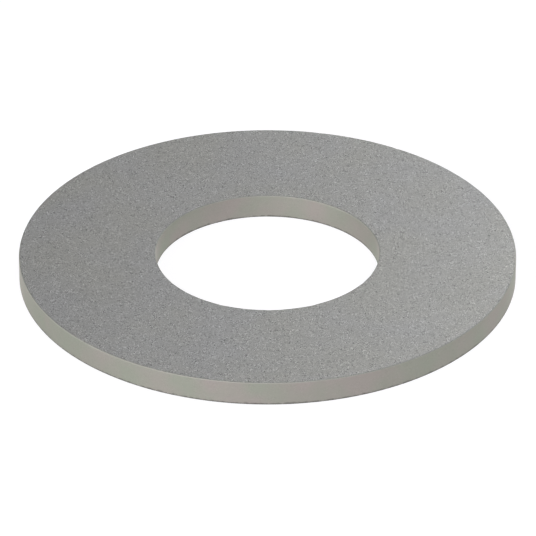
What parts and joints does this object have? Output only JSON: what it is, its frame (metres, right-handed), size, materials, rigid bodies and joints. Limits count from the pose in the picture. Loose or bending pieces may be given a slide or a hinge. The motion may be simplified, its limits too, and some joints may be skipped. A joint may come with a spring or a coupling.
{
  "type": "flat washer",
  "caption": "Plain round flat washer: a thin stamped steel ring that spreads the load of a bolt head or nut over the surface below it.",
  "frame": {"origin": "centre of the hole on the seating face, the lower flat face, so the washer lies on z = 0", "axes": "+Z along the hole's axis, from the seating face towards the bearing face that the bolt head or nut presses on; X and Y are equivalent"},
  "size_m": [0.0318, 0.0318, 0.0016],
  "materials": {
    "stainless_steel": "tumbled plain stainless steel: fine even matte grain on both faces, smoother and slightly warmer satin on the sheared rim and hole wall"
  },
  "bodies": {
    "root": {"washer": "stainless_steel"}
  },
  "joints": []
}
